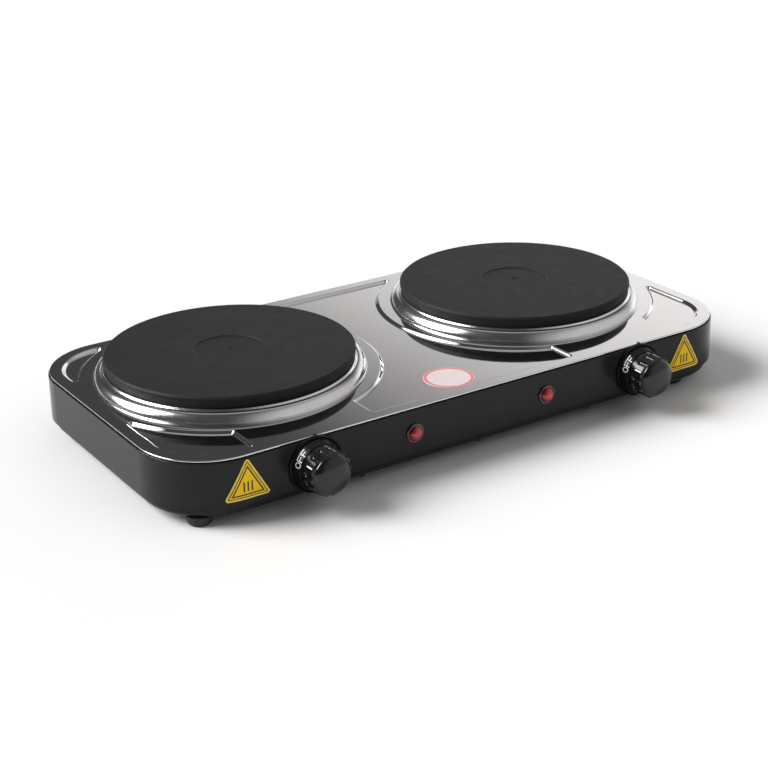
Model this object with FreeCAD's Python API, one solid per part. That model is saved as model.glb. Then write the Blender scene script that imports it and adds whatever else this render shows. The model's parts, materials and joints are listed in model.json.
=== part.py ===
import FreeCAD, Part
import math
import os
from FreeCAD import Vector

# Twin electric hot plate. Units are millimetres.
# X runs along the length, the knobs are at the front (-Y) and +Z is up.
# The origin is the bottom centre of the bounding box, on the floor under the feet.

os.makedirs("parts", exist_ok=True)

# Body outline and heights above the floor
BODY_LENGTH = 493.0
BODY_WIDTH = 245.0
CORNER_R = 52.0
FOOT_HEIGHT = 7.0
SEAM_Z = 14.5
DECK_TOP = 49.5
PLATE_TOP = 66.0
STEEL_T = 0.8

# How far the knobs and the cord gland stand out of the walls
KNOB_REACH = 28.0
GLAND_REACH = 3.0
BODY_Y = (KNOB_REACH - GLAND_REACH) / 2
FRONT_Y = BODY_Y - BODY_WIDTH / 2
BACK_Y = BODY_Y + BODY_WIDTH / 2

# Cutters run this far past whatever they cut, or past a single wall or sheet
THROUGH = 100.0
WALL_CUT = 5.0
SHEET_CUT = 1.0

# Gap round a part that sits in a hole
HOLE_GAP = 0.1

# Body shell: a flange at the bottom, and a joggled flange that carries the deck
EDGE_BEND_R = 1.0
DECK_GAP = 0.8
JOGGLE_INSET = 3.4
TOP_FLANGE = 9.0
BOTTOM_FLANGE = 16.0

# Base pan: a shallow tray set back under the seam
PAN_INSET = 3.0
PAN_EDGE_R = 4.0
POST_R = 4.0
BASE_SCREW_R = 1.7
BASE_SCREW_INSET = 10.0
BASE_SCREW_XS = (-100.0, 0.0, 100.0)
VENT_LENGTH = 46.0
VENT_WIDTH = 5.0
VENT_PITCH = 14.0
VENT_COUNT = 7
BASE_HEAD_R = 3.2
BASE_HEAD_T = 1.8
BASE_SHANK_RISE = 5.0

# Deck sheet and its pressed pockets
DECK_INSET = 1.0
DECK_EDGE_R = 0.5
BAND = 10.0
PLATFORM_R = 110.0
POCKET_DEPTH = 2.0
POCKET_BEVEL = 2.8
POCKET_CORNER_R = 3.2
POCKET_STEPS = 6
BRIDGE_IN = 89.0
BRIDGE_OUT = 181.0
TAB_WIDTH = 8.0
TAB_INSET = 6.5
TAB_XS = (-160.0, 0.0, 160.0)
TAB_DROP = 4.0
TAB_SLOT_HALF_X = 4.6
TAB_SLOT_HALF_Y = 0.7

# Burners
BURNER_X = 130.5
BURNER_Y = BODY_Y + 15.7
PLATE_R = 92.5
PLATE_FOOT_R = 90.6
PLATE_SEAT_Z = 56.9
PLATE_BODY_R = 85.5
PLATE_BOTTOM = 48.0
PLATE_CHAMFER = 1.2
RECESS_R = 26.5
RECESS_DEPTH = 0.7
GROOVE_RADII = (30.0, 42.0, 54.0, 66.0, 78.0)
GROOVE_WIDTH = 7.5
GROOVE_TOP = 57.0
NOTCH_HALF = 9.0
DECK_HOLE_R = 87.0
COVER_R = 84.0
COVER_T = 0.8

# Heating coil, buried in the ceramic fill
COIL_R = 2.0
COIL_Z = 52.5
COIL_END_X = 6.0
BUSHING_R = 4.5
BUSHING_BOTTOM = 33.0
HEATER_TAB_END = 24.5

# Trim ring
RING_T = 0.6
RING_SKIRT_R = 88.0
RING_TOP_CURVE = (
    (91.0, 56.9), (91.6, 57.3), (92.3, 57.1), (92.9, 56.3), (93.6, 55.8),
    (94.6, 56.1), (95.8, 56.0), (97.3, 55.2), (98.7, 53.8), (99.8, 52.0),
    (100.4, 50.6), (100.6, 49.5),
)

# Reflector pan, clamp strap and centre stud
REFLECTOR_R = 88.0
REFLECTOR_RIM_R = 96.0
REFLECTOR_FLOOR = 34.0
REFLECTOR_T = 0.6
STRAP_LENGTH = 130.0
STRAP_WIDTH = 22.0
STRAP_T = 1.6
STRAP_LIP = 5.0
STUD_GAP = 0.4
STUD_R = 3.0
STUD_TOP = 58.0
STUD_BOTTOM = 24.0
NUT_FLATS = 10.0
NUT_HEIGHT = 5.0
WASHER_R = 8.0
WASHER_T = 1.2

# Knobs, their fixed collars and the thermostats behind them
KNOB_X = 142.0
KNOB_Z = 29.5
POINTER_ANGLE = 152.0
BEZEL_R = 20.6
BEZEL_DEPTH = 2.6
COLLAR_BACK_R = 19.0
COLLAR_FRONT_R = 16.9
COLLAR_DEPTH = 9.0
COLLAR_HOLE_R = 3.6
INDEX_TIP_R = 22.2
INDEX_HALF_WIDTH = 1.6
INDEX_TIP_HALF = 0.3
COLLAR_ROOM_R = 14.0
COLLAR_FACE_T = 2.0
SNAP_LEG_R = 13.5
SNAP_HALF_WIDTH = 2.0
SNAP_HALF_T = 0.8
SNAP_GAP = 0.2
SNAP_REACH = 2.6
KNOB_BACK = 9.5
KNOB_BACK_R = 16.3
KNOB_FRONT_R = 15.9
KNOB_SHOULDER = 21.0
DOME_R = 14.3
DOME_START = 22.0
KNOB_WALL = 2.2
KNOB_HUB_R = 6.0
FLUTE_COUNT = 16
FLUTE_R = 2.3
FLUTE_AXIS_R = 17.0
FLUTE_START = 14.4
RIDGE_WIDTH = 2.0
RIDGE_R = 17.1
RIDGE_START = 12.0
RIDGE_END = 22.8
SPINDLE_R = 3.0
SPINDLE_FRONT = 21.0
SPINDLE_BACK = 8.0
BUSHING_OUTER_R = 5.0
BUSHING_FRONT = 6.0
BUSHING_TAIL = 4.0
BUSHING_NUT_FLATS = 14.0
BUSHING_NUT_T = 2.6
RUN_CLEARANCE = 0.05
PIN_R = 1.8
PIN_FRONT = 2.0
BRACKET_T = 1.2
BRACKET_HALF_X = 18.0
BRACKET_HALF_Z = 11.0
STACK_NEAR_X = 9.0
STACK_HALF_Z = 6.0
STACK_BACK = 22.0
BLADE_YS = (11.0, 14.8, 18.6)
BLADE_T = 0.5
BLADE_HALF_Z = 3.15
BLADE_TIP_X = -12.0
CONTACT_R = 1.8
CONTACT_INSET = 3.0
CONTACT_GAP = 0.4
TAB_LENGTH = 8.0

# Indicator lamps
LAMP_XS = (-61.0, 55.0)
LAMP_Z = 30.5
LENS_FLANGE_R = 7.1
LENS_FLANGE_T = 1.4
LENS_DOME_R = 5.9
LENS_REACH = 5.2
LENS_TUBE_R = 4.8
LENS_TUBE_WALL = 1.0
LENS_TUBE_BACK = 6.0
HOLDER_R = 6.4
HOLDER_BACK = 18.0

# Labels
LABEL_T = 0.2
TRIANGLE_XS = (-193.5, 189.5)
TRIANGLE_SIDE = 34.6
TRIANGLE_BASE_Z = 18.3
TRIANGLE_CORNER_R = 1.8
ROUND_LABEL_R = 18.7
ROUND_LABEL_X = -8.0
ROUND_LABEL_Y = BODY_Y - 88.5

# Feet
FOOT_XS = (-220.0, 196.0)
FOOT_Y = 102.0
FOOT_TOP_R = 9.4
FOOT_BOTTOM_R = 8.3
FOOT_SCREW_R = 1.9
FOOT_HEAD_R = 4.0
FOOT_HEAD_GAP = 0.3
FOOT_HEAD_LOW = 1.6
FOOT_HEAD_HIGH = 3.6
FOOT_SCREW_TOP = 12.5
FOOT_ROUND = 1.2
SHANK_GAP = 0.05

# Cord inlet and wiring
GLAND_R = 9.0
GLAND_HOLE_R = 7.0
CORD_R = 3.5
GLAND_Z = 29.0
GLAND_INNER_T = 3.0
BLOCK_HALF_X = 19.0
BLOCK_FRONT_Y = BODY_Y + 84.0
BLOCK_BACK_Y = BODY_Y + 98.0
BLOCK_TOP = 20.0
POLE_XS = (-12.0, 0.0, 12.0)
POLE_HOLE_OFFSET = 2.2
POLE_HOLE_DEPTH = 6.0
WIRE_R = 1.3
WIRE_BEND = 4.0
WIRE_RUN_Z = 12.0
WIRE_HIGH_Z = 22.0
LIVE_DROP_Y = FRONT_Y + 25.0
HEATER_DROP_Y = FRONT_Y + 31.0
NEUTRAL_LANE_Y = BLOCK_FRONT_Y - 8.5
LEAD_R = 0.9
LEAD_BEND = 3.0
LEAD_OFFSET = 2.5
LEAD_HOLE_DEPTH = 4.0
LEAD_RUN_Z = 17.0
LEAD_END_Z = 24.0
LEAD_DROP_YS = (FRONT_Y + 35.0, FRONT_Y + 40.0)
SOCKET_LENGTH = TAB_LENGTH + 3.0
SOCKET_HALF_WIDTH = 3.9
EARTH_Y = BODY_Y + 50.0
EARTH_RING_R = 4.0
EARTH_RING_Z = 9.4
EARTH_SCREW_R = 2.0


def save(name, shape):
    """Write one node as a STEP file."""
    shape.exportStep("parts/%s.step" % name)


def moved(shape, x=0.0, y=0.0, z=0.0):
    """Return a copy of the shape, shifted."""
    copy = shape.copy()
    copy.translate(Vector(x, y, z))
    return copy


def box(x0, x1, y0, y1, z0, z1):
    """Return a box between two corners."""
    return Part.makeBox(x1 - x0, y1 - y0, z1 - z0, Vector(x0, y0, z0))


def rod(radius, z0, z1, x=0.0, y=0.0):
    """Return an upright cylinder."""
    return Part.makeCylinder(radius, z1 - z0, Vector(x, y, z0))


def fused(shapes):
    """Fuse a list of solids that touch or overlap."""
    first = shapes[0]
    if len(shapes) > 1:
        first = first.multiFuse(shapes[1:])
    return first.removeSplitter()


def turned(points):
    """Revolve a closed outline of (radius, height) points about Z."""
    corners = [Vector(r, 0, z) for r, z in points]
    corners.append(corners[0])
    face = Part.Face(Part.makePolygon(corners))
    return face.revolve(Vector(0, 0, 0), Vector(0, 0, 1), 360)


def outline(inset, z):
    """Return the body outline, drawn in by an inset, as a wire at a height."""
    hx = BODY_LENGTH / 2 - inset
    hy = BODY_WIDTH / 2 - inset
    r = CORNER_R - inset
    k = r * (1 - math.sqrt(0.5))
    edges = []
    for sx, sy in ((1, 1), (-1, 1), (-1, -1), (1, -1)):
        along_y = Vector(sx * hx, sy * (hy - r), z)
        along_x = Vector(sx * (hx - r), sy * hy, z)
        middle = Vector(sx * (hx - k), sy * (hy - k), z)
        ends = (along_y, along_x) if sx * sy > 0 else (along_x, along_y)
        edges.append(Part.Arc(ends[0], middle, ends[1]).toShape())
    for i in range(4):
        start = edges[i].Vertexes[-1].Point
        end = edges[(i + 1) % 4].Vertexes[0].Point
        edges.append(Part.makeLine(start, end))
    wire = Part.Wire(Part.__sortEdges__(edges))
    wire.translate(Vector(0, BODY_Y, 0))
    return wire


def slab(inset, z0, z1):
    """Return a plate with the body outline between two heights."""
    return Part.Face(outline(inset, z0)).extrude(Vector(0, 0, z1 - z0))


def rounded_slab(inset, z0, z1, radius, at_z):
    """Return a slab whose outer edge at one height is rounded."""
    solid = slab(inset, z0, z1)
    edges = [e for e in solid.Edges if abs(e.BoundBox.ZMin - at_z) < 0.01 and e.BoundBox.ZLength < 0.02]
    return solid.makeFillet(radius, edges)


def to_front(shape, x, z):
    """Turn a shape built along +Z so that it points out of the front wall."""
    shape = shape.copy()
    shape.rotate(Vector(0, 0, 0), Vector(1, 0, 0), 90)
    shape.translate(Vector(x, FRONT_Y, z))
    return shape


def hex_prism(flats, z0, z1):
    """Return an upright hexagonal prism."""
    r = flats / math.sqrt(3)
    angles = [math.radians(60 * i) for i in range(7)]
    corners = [Vector(r * math.cos(a), r * math.sin(a), z0) for a in angles]
    return Part.Face(Part.makePolygon(corners)).extrude(Vector(0, 0, z1 - z0))


def rod_path(points, radius, bend):
    """Return a round rod along straight runs joined by tangent arcs."""
    points = [Vector(*p) for p in points]
    pieces = []
    start = points[0]
    for i in range(1, len(points)):
        direction = (points[i] - points[i - 1]).normalize()
        if i == len(points) - 1:
            end = points[i]
        else:
            after = (points[i + 1] - points[i]).normalize()
            turn = math.acos(max(-1.0, min(1.0, direction.dot(after))))
            trim = bend * math.tan(turn / 2)
            end = points[i] - direction * trim
        pieces.append(Part.makeCylinder(radius, (end - start).Length, start, direction))
        if i < len(points) - 1:
            inward = (after - direction * after.dot(direction)).normalize()
            centre = end + inward * bend
            disc = Part.Face(Part.Wire(Part.makeCircle(radius, end, direction)))
            axis = direction.cross(inward)
            pieces.append(disc.revolve(centre, axis, math.degrees(turn)))
            start = points[i] + after * trim
    return fused(pieces)


def socket(tip, direction, blade_normal):
    """Return a push-on socket for a 6.3 mm tab. It opens at tip and runs back along direction."""
    across = direction.cross(blade_normal)
    def block(half_across, half_normal, length, start):
        corner = tip + direction * start - across * half_across - blade_normal * half_normal
        a = corner + across * (2 * half_across)
        b = a + blade_normal * (2 * half_normal)
        c = corner + blade_normal * (2 * half_normal)
        return Part.Face(Part.makePolygon([corner, a, b, c, corner])).extrude(direction * length)
    shell = block(SOCKET_HALF_WIDTH, 1.3, SOCKET_LENGTH, 0.0)
    return shell.cut(block(3.3, 0.45, TAB_LENGTH + 0.3, 0.0))


# ---------------------------------------------------------------- enclosure

def body_shell():
    """Painted steel wall with its two flanges and every hole through it."""
    flange_z = DECK_TOP - STEEL_T
    low_z = flange_z - DECK_GAP
    outer = rounded_slab(0.0, SEAM_Z, low_z, EDGE_BEND_R, low_z)
    outer = outer.fuse(slab(JOGGLE_INSET, low_z, flange_z))
    inner = slab(STEEL_T, SEAM_Z + STEEL_T, low_z - STEEL_T)
    inner = inner.fuse(slab(JOGGLE_INSET + STEEL_T, low_z - STEEL_T, flange_z - STEEL_T))
    shell = outer.cut(inner)
    shell = shell.cut(slab(TOP_FLANGE, low_z - 2 * SHEET_CUT, flange_z + SHEET_CUT))
    shell = shell.cut(slab(BOTTOM_FLANGE, SEAM_Z - SHEET_CUT, SEAM_Z + 2 * SHEET_CUT))
    cutters = []
    for side in (-1, 1):
        x = side * KNOB_X
        cutters.append(to_front(rod(BUSHING_OUTER_R + HOLE_GAP, -WALL_CUT, WALL_CUT), x, KNOB_Z))
        for up in (-1, 1):
            z = KNOB_Z + up * SNAP_LEG_R
            half_x = SNAP_HALF_WIDTH + SNAP_GAP
            half_z = SNAP_HALF_T + SNAP_GAP
            y0 = FRONT_Y - WALL_CUT
            cutters.append(box(x - half_x, x + half_x, y0, FRONT_Y + WALL_CUT, z - half_z, z + half_z))
    for x in LAMP_XS:
        cutters.append(to_front(rod(LENS_TUBE_R + HOLE_GAP, -WALL_CUT, WALL_CUT), x, LAMP_Z))
    cutters.append(moved(to_front(rod(GLAND_HOLE_R, -WALL_CUT, WALL_CUT), 0, GLAND_Z), y=BODY_WIDTH))
    for x, y in screw_points():
        cutters.append(rod(BASE_SCREW_R, SEAM_Z - SHEET_CUT, SEAM_Z + 2 * SHEET_CUT, x, y))
    for x, y in tab_points():
        cutters.append(tab_slot(x, y, flange_z))
    return shell.cut(Part.makeCompound(cutters))


def tab_slot(x, y, flange_z):
    """Return the cutter for one deck tab's slot in the top flange."""
    x0, x1 = x - TAB_SLOT_HALF_X, x + TAB_SLOT_HALF_X
    y0, y1 = y - TAB_SLOT_HALF_Y, y + TAB_SLOT_HALF_Y
    return box(x0, x1, y0, y1, flange_z - TAB_DROP + 1, flange_z + SHEET_CUT)


def screw_points():
    """Return the places of the screws between base pan and body."""
    reach = BODY_WIDTH / 2 - BASE_SCREW_INSET
    return [(x, BODY_Y + s * reach) for s in (-1, 1) for x in BASE_SCREW_XS]


def tab_points():
    """Return the places of the deck's fixing tabs."""
    reach = BODY_WIDTH / 2 - TAB_INSET
    return [(x, BODY_Y + s * reach) for s in (-1, 1) for x in TAB_XS]


def foot_points():
    """Return the foot names and places."""
    places = []
    for x, side in zip(FOOT_XS, ("left", "right")):
        for s, end in ((-1, "front"), (1, "back")):
            places.append(("foot_%s_%s" % (end, side), x, BODY_Y + s * FOOT_Y))
    return places


def base_pan():
    """Painted steel tray with screw posts, cooling slots and foot holes."""
    outer = rounded_slab(PAN_INSET, FOOT_HEIGHT, SEAM_Z, PAN_EDGE_R, FOOT_HEIGHT)
    floor_z = FOOT_HEIGHT + STEEL_T
    inner = rounded_slab(PAN_INSET + STEEL_T, floor_z, SEAM_Z + 1, PAN_EDGE_R - STEEL_T, floor_z)
    pan = outer.cut(inner)
    posts = [rod(POST_R, FOOT_HEIGHT + 0.1, SEAM_Z, x, y) for x, y in screw_points()]
    pan = fused([pan] + posts)
    cutters = [rod(BASE_SCREW_R, 0, SEAM_Z + SHEET_CUT, x, y) for x, y in screw_points()]
    cutters += [rod(FOOT_SCREW_R, 0, 20, x, y) for _, x, y in foot_points()]
    for side in (-1, 1):
        for i in range(VENT_COUNT):
            x = side * BURNER_X + (i - (VENT_COUNT - 1) / 2) * VENT_PITCH
            y0 = BURNER_Y - VENT_LENGTH / 2
            y1 = BURNER_Y + VENT_LENGTH / 2
            half = VENT_WIDTH / 2
            cutters.append(box(x - half, x + half, y0, y1, 0, 12))
            cutters.append(rod(half, 0, 12, x, y0))
            cutters.append(rod(half, 0, 12, x, y1))
    return pan.cut(Part.makeCompound(cutters))


def foot():
    """Rubber foot with a recess for its screw head."""
    solid = turned([
        (0, 0), (FOOT_BOTTOM_R - FOOT_ROUND, 0), (FOOT_BOTTOM_R, FOOT_ROUND),
        (FOOT_TOP_R, FOOT_HEIGHT), (0, FOOT_HEIGHT),
    ])
    solid = solid.cut(rod(FOOT_SCREW_R, -THROUGH, THROUGH))
    return solid.cut(rod(FOOT_HEAD_R + FOOT_HEAD_GAP, -THROUGH, FOOT_HEAD_HIGH))


def foot_screws():
    """Four screws that hold the feet to the base pan."""
    one = rod(FOOT_HEAD_R, FOOT_HEAD_LOW, FOOT_HEAD_HIGH)
    one = one.fuse(rod(FOOT_SCREW_R - SHANK_GAP, FOOT_HEAD_HIGH, FOOT_SCREW_TOP))
    one = one.cut(box(-2.6, 2.6, -0.5, 0.5, 0.0, FOOT_HEAD_LOW + 1.0))
    return Part.makeCompound([moved(one, x, y) for _, x, y in foot_points()])


def base_screws():
    """Six screws that hold the base pan to the body's bottom flange."""
    head = rod(BASE_HEAD_R, FOOT_HEIGHT - BASE_HEAD_T, FOOT_HEIGHT)
    shank = rod(BASE_SCREW_R - SHANK_GAP, FOOT_HEIGHT, SEAM_Z + BASE_SHANK_RISE)
    slot = box(-2.2, 2.2, -0.4, 0.4, FOOT_HEIGHT - 2, FOOT_HEIGHT - 0.9)
    one = head.fuse(shank).cut(slot)
    return Part.makeCompound([moved(one, x, y) for x, y in screw_points()])


def pocket_cores():
    """Return the outlines of the deck's pockets, drawn in by their corner radius."""
    region = Part.Face(outline(BAND, 0))
    reach = BODY_WIDTH / 2
    for side in (-1, 1):
        centre = Vector(side * BURNER_X, BURNER_Y, 0)
        region = region.cut(Part.Face(Part.Wire(Part.makeCircle(PLATFORM_R, centre))))
        x0, x1 = sorted((side * BRIDGE_IN, side * BRIDGE_OUT))
        region = region.cut(Part.makePlane(x1 - x0, reach, Vector(x0, BODY_Y - reach, 0)))
    cores = []
    for face in region.Faces:
        cores += [core.OuterWire for core in face.makeOffset2D(-POCKET_CORNER_R, 2).Faces]
    return cores


def pocket(core, extra, drop):
    """Return a pocket block over one core, with a smooth S-shaped side all round."""
    sections = []
    for step in range(POCKET_STEPS + 1):
        t = step / POCKET_STEPS
        wire = core.makeOffset2D(POCKET_CORNER_R - POCKET_BEVEL * (1 - t) + extra)
        rise = POCKET_DEPTH * t * t * (3 - 2 * t)
        wire.translate(Vector(0, 0, DECK_TOP - POCKET_DEPTH - drop + rise))
        sections.append(wire)
    return Part.makeLoft(sections, True, True)


def top_deck():
    """Polished steel deck with pressed pockets, burner holes and fixing tabs."""
    under = DECK_TOP - STEEL_T
    deck = rounded_slab(DECK_INSET, under, DECK_TOP, DECK_EDGE_R, DECK_TOP)
    for core in pocket_cores():
        deck = deck.fuse(pocket(core, STEEL_T, STEEL_T))
        deck = deck.cut(pocket(core, 0.0, 0.0))
    for side in (-1, 1):
        deck = deck.cut(rod(DECK_HOLE_R, -THROUGH, THROUGH, side * BURNER_X, BURNER_Y))
    tabs = []
    for x, y in tab_points():
        half = TAB_WIDTH / 2
        tabs.append(box(x - half, x + half, y - STEEL_T / 2, y + STEEL_T / 2, under - TAB_DROP, under))
    return fused([deck] + tabs)


# ---------------------------------------------------------------- burners

def hotplate():
    """Cast-iron plate with a central recess above and coil grooves below."""
    floor_z = PLATE_TOP - RECESS_DEPTH
    plate = turned([
        (0, floor_z - 0.8), (2.4, floor_z), (RECESS_R - 1.0, floor_z),
        (RECESS_R, PLATE_TOP), (PLATE_R - PLATE_CHAMFER, PLATE_TOP),
        (PLATE_R, PLATE_TOP - PLATE_CHAMFER), (PLATE_R - 0.1, PLATE_TOP - 4.0),
        (PLATE_FOOT_R, PLATE_SEAT_Z), (PLATE_BODY_R, PLATE_SEAT_Z),
        (PLATE_BODY_R, PLATE_BOTTOM), (0, PLATE_BOTTOM),
    ])
    for r in GROOVE_RADII:
        ring = rod(r + GROOVE_WIDTH / 2, PLATE_BOTTOM, GROOVE_TOP)
        plate = plate.cut(ring.cut(rod(r - GROOVE_WIDTH / 2, PLATE_BOTTOM, GROOVE_TOP)))
    plate = plate.cut(notch(0.0))
    return plate.cut(rod(STUD_R, PLATE_BOTTOM - 1, STUD_TOP))


def notch(gap):
    """Return the slot across the ribs where the coil steps outwards."""
    half = NOTCH_HALF - gap
    y0 = GROOVE_RADII[0] - 2
    y1 = GROOVE_RADII[-1] + 2
    return box(-half, half, y0, y1, PLATE_BOTTOM, GROOVE_TOP - gap)


def coil_ends():
    """Return where the two ends of the heating coil come down."""
    inner = GROOVE_RADII[0]
    outer = GROOVE_RADII[-1]
    last_side = 1 if len(GROOVE_RADII) % 2 else -1
    first = (-COIL_END_X, math.sqrt(inner ** 2 - COIL_END_X ** 2))
    last = (last_side * COIL_END_X, math.sqrt(outer ** 2 - COIL_END_X ** 2))
    return first, last


def heating_coil():
    """One tubular coil: five open rings joined by short radial links, with two tabs."""
    pieces = []
    heights = []
    for r in GROOVE_RADII:
        y = math.sqrt(r ** 2 - COIL_END_X ** 2)
        heights.append(y)
        start = Vector(-COIL_END_X, y, COIL_Z)
        tangent = Vector(-y, -COIL_END_X, 0).normalize()
        disc = Part.Face(Part.Wire(Part.makeCircle(COIL_R, start, tangent)))
        sweep = 360 - 2 * math.degrees(math.asin(COIL_END_X / r))
        pieces.append(disc.revolve(Vector(0, 0, 0), Vector(0, 0, 1), sweep))
        pieces.append(Part.makeSphere(COIL_R, start))
        pieces.append(Part.makeSphere(COIL_R, Vector(COIL_END_X, y, COIL_Z)))
    for i in range(len(heights) - 1):
        x = COIL_END_X if i % 2 == 0 else -COIL_END_X
        start = Vector(x, heights[i], COIL_Z)
        length = heights[i + 1] - heights[i]
        pieces.append(Part.makeCylinder(COIL_R, length, start, Vector(0, 1, 0)))
    for x, y in coil_ends():
        pieces.append(rod(1.4, BUSHING_BOTTOM - 0.4, COIL_Z, x, y))
        pieces.append(box(x - 3.15, x + 3.15, y - 0.4, y + 0.4, HEATER_TAB_END, BUSHING_BOTTOM))
    return fused(pieces)


def ceramic_fill(coil):
    """Ceramic fill in the grooves, with two bushings for the coil's ends."""
    half = GROOVE_WIDTH / 2 - 0.1
    pieces = []
    for r in GROOVE_RADII:
        ring = rod(r + half, PLATE_BOTTOM, GROOVE_TOP - 0.1)
        pieces.append(ring.cut(rod(r - half, PLATE_BOTTOM, GROOVE_TOP - 0.1)))
    pieces.append(notch(0.1))
    for x, y in coil_ends():
        pieces.append(rod(BUSHING_R, BUSHING_BOTTOM, PLATE_BOTTOM, x, y))
    return fused(pieces).cut(coil)


def plate_cover():
    """Thin steel disc that closes the underside of the plate."""
    disc = rod(COVER_R, PLATE_BOTTOM - COVER_T, PLATE_BOTTOM)
    disc = disc.cut(rod(STUD_R + STUD_GAP, -THROUGH, THROUGH))
    for x, y in coil_ends():
        disc = disc.cut(rod(BUSHING_R + 2 * HOLE_GAP, -THROUGH, THROUGH, x, y))
    return disc


def trim_ring():
    """Polished ring with a thin inner lip, a groove and a wide outer roll."""
    top = [Vector(r, 0, z) for r, z in RING_TOP_CURVE]
    low = []
    for i in range(len(top)):
        a = top[max(i - 1, 0)]
        b = top[min(i + 1, len(top) - 1)]
        along = (b - a).normalize()
        low.append(top[i] + Vector(along.z, 0, -along.x) * RING_T)
    last = top[-1]
    low[0] = top[0] - Vector(0, 0, RING_T)
    low[-1] = Vector(last.x - RING_T, 0, last.z)
    upper = Part.BSplineCurve()
    upper.interpolate(top)
    lower = Part.BSplineCurve()
    lower.interpolate(low)
    inner_top = Vector(RING_SKIRT_R, 0, top[0].z)
    inner_low = Vector(RING_SKIRT_R, 0, top[0].z - RING_T)
    edges = [
        upper.toShape(),
        lower.toShape(),
        Part.makeLine(last, low[-1]),
        Part.makeLine(top[0], inner_top),
        Part.makeLine(inner_top, inner_low),
        Part.makeLine(inner_low, low[0]),
    ]
    face = Part.Face(Part.Wire(Part.__sortEdges__(edges)))
    ring = face.revolve(Vector(0, 0, 0), Vector(0, 0, 1), 360)
    skirt = rod(RING_SKIRT_R + RING_T, DECK_TOP, PLATE_SEAT_Z - RING_T / 2)
    skirt = skirt.cut(rod(RING_SKIRT_R, DECK_TOP - 1, PLATE_SEAT_Z + 1))
    return fused([ring, skirt])


def reflector_pan():
    """Bright steel dish under the plate."""
    rim_z = DECK_TOP - STEEL_T
    t = REFLECTOR_T
    dish = turned([
        (0, REFLECTOR_FLOOR), (REFLECTOR_R - 6, REFLECTOR_FLOOR),
        (REFLECTOR_R, REFLECTOR_FLOOR + 6), (REFLECTOR_R, rim_z - t),
        (REFLECTOR_RIM_R, rim_z - t), (REFLECTOR_RIM_R, rim_z),
        (REFLECTOR_R - t, rim_z), (REFLECTOR_R - t, REFLECTOR_FLOOR + 6 + t / 2),
        (REFLECTOR_R - 6 - t / 2, REFLECTOR_FLOOR + t), (0, REFLECTOR_FLOOR + t),
    ])
    dish = dish.cut(rod(STUD_R + STUD_GAP, -THROUGH, THROUGH))
    for x, y in coil_ends():
        dish = dish.cut(rod(BUSHING_R + 4 * HOLE_GAP, -THROUGH, THROUGH, x, y))
    return dish


def clamp_strap():
    """Channel-shaped strap that pulls the plate and the dish together."""
    half = STRAP_WIDTH / 2
    top = REFLECTOR_FLOOR
    end = STRAP_LENGTH / 2
    web = box(-end, end, -half, half, top - STRAP_T, top)
    lips = [
        box(-end, end, y, y + STRAP_T, top - STRAP_LIP, top - STRAP_T)
        for y in (-half, half - STRAP_T)
    ]
    return fused([web] + lips).cut(rod(STUD_R + STUD_GAP, -THROUGH, THROUGH))


def centre_studs():
    """Two studs, one under the middle of each plate."""
    one = rod(STUD_R, STUD_BOTTOM, STUD_TOP)
    return Part.makeCompound([moved(one, s * BURNER_X, BURNER_Y) for s in (-1, 1)])


def centre_washers():
    """Two washers under the clamp straps."""
    top = REFLECTOR_FLOOR - STRAP_T
    one = rod(WASHER_R, top - WASHER_T, top).cut(rod(STUD_R + 2 * HOLE_GAP, -THROUGH, THROUGH))
    return Part.makeCompound([moved(one, s * BURNER_X, BURNER_Y) for s in (-1, 1)])


def centre_nuts():
    """Two hexagon nuts on the centre studs."""
    top = REFLECTOR_FLOOR - STRAP_T - WASHER_T
    one = hex_prism(NUT_FLATS, top - NUT_HEIGHT, top).cut(rod(STUD_R, -THROUGH, THROUGH))
    return Part.makeCompound([moved(one, s * BURNER_X, BURNER_Y) for s in (-1, 1)])


# ---------------------------------------------------------------- controls

def dial_collar():
    """Fixed collar on the front wall: bezel, index tooth, cone and snap legs."""
    solid = turned([
        (0, 0), (BEZEL_R, 0), (BEZEL_R, BEZEL_DEPTH - 0.8), (BEZEL_R - 0.8, BEZEL_DEPTH),
        (COLLAR_BACK_R + 0.5, BEZEL_DEPTH), (COLLAR_BACK_R, BEZEL_DEPTH - 0.9),
        (COLLAR_FRONT_R, COLLAR_DEPTH - 0.5), (COLLAR_FRONT_R - 0.5, COLLAR_DEPTH),
        (0, COLLAR_DEPTH),
    ])
    solid = solid.cut(rod(COLLAR_ROOM_R, -THROUGH, COLLAR_DEPTH - COLLAR_FACE_T))
    solid = solid.cut(rod(COLLAR_HOLE_R, -THROUGH, THROUGH))
    tooth = Part.makePolygon([
        Vector(-INDEX_HALF_WIDTH, BEZEL_R - 1, 0), Vector(INDEX_HALF_WIDTH, BEZEL_R - 1, 0),
        Vector(INDEX_TIP_HALF, INDEX_TIP_R, 0), Vector(-INDEX_TIP_HALF, INDEX_TIP_R, 0),
        Vector(-INDEX_HALF_WIDTH, BEZEL_R - 1, 0),
    ])
    pieces = [solid, Part.Face(tooth).extrude(Vector(0, 0, BEZEL_DEPTH - 0.4))]
    for s in (-1, 1):
        y0 = s * SNAP_LEG_R - SNAP_HALF_T
        y1 = s * SNAP_LEG_R + SNAP_HALF_T
        z1 = COLLAR_DEPTH - COLLAR_FACE_T
        pieces.append(box(-SNAP_HALF_WIDTH, SNAP_HALF_WIDTH, y0, y1, -SNAP_REACH, z1))
    return fused(pieces)


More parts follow.
